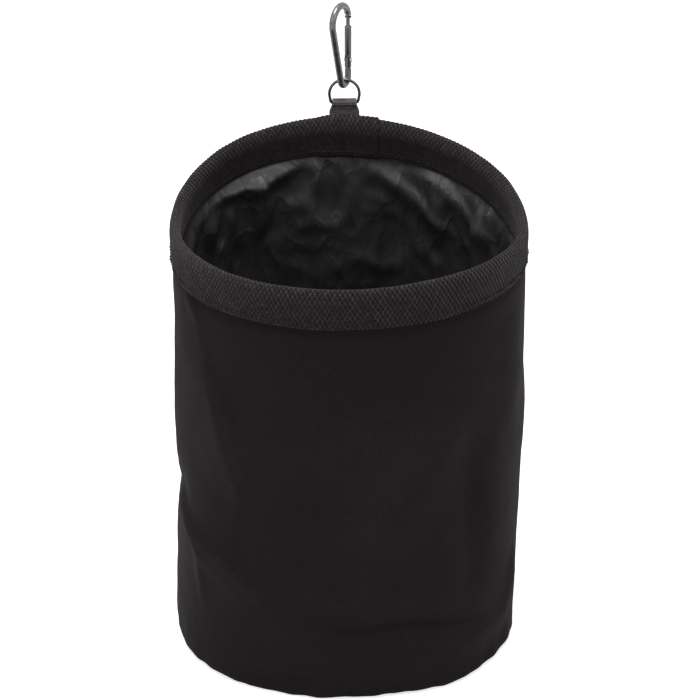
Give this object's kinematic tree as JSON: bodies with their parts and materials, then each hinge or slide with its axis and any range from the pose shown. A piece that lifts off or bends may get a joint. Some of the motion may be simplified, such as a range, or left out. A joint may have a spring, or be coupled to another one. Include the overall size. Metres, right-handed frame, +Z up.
{
  "type": "peg bag",
  "caption": "Round cloth peg bag with a webbing-bound open mouth, satin lining, and a back tab with D-ring and spring-gate carabiner to hang it on a clothes line.",
  "frame": {"origin": "centre of the underside of the base", "axes": "+Z up along the bag's axis, +Y to the back where the hanging tab is, +X to the right as the picture is taken"},
  "size_m": [0.2026, 0.2115, 0.3477],
  "materials": {
    "cloth": "matte",
    "lining": "satin",
    "webbing": "matte",
    "hoop": "matte",
    "ring_metal": "polished",
    "frame_metal": "polished",
    "gate_metal": "satin",
    "pin_metal": "satin"
  },
  "bodies": {
    "bag": {"outer_wall": "cloth", "base_panel": "cloth", "lining_wall": "lining", "lining_base": "lining", "rim_binding": "webbing", "rim_hoop": "hoop", "hanging_tab": "webbing"},
    "ring": {"d_ring": "ring_metal"},
    "carabiner": {"carabiner_frame": "frame_metal", "gate_rivet": "pin_metal"},
    "gate": {"carabiner_gate": "gate_metal", "latch_pin": "pin_metal", "gate_spring": "pin_metal"}
  },
  "joints": [
    {"name": "ring_swing", "type": "hinge", "parent": "bag", "child": "ring", "pos_m": [0, 0.104, 0.285], "axis": [1, 0, 0], "range_deg": [-75, 75]},
    {"name": "carabiner_swing", "type": "hinge", "parent": "ring", "child": "carabiner", "pos_m": [0, 0.104, 0.2992], "axis": [1, 0, 0], "range_deg": [-60, 60]},
    {"name": "gate_hinge", "type": "hinge", "parent": "carabiner", "child": "gate", "pos_m": [0.00223, 0.10802, 0.31], "axis": [0.8746, -0.4848, 0], "range_deg": [0, 26], "stiffness_Nm_per_rad": 0.02, "springref_deg": -14.32, "deforming": ["gate_spring"]}
  ]
}
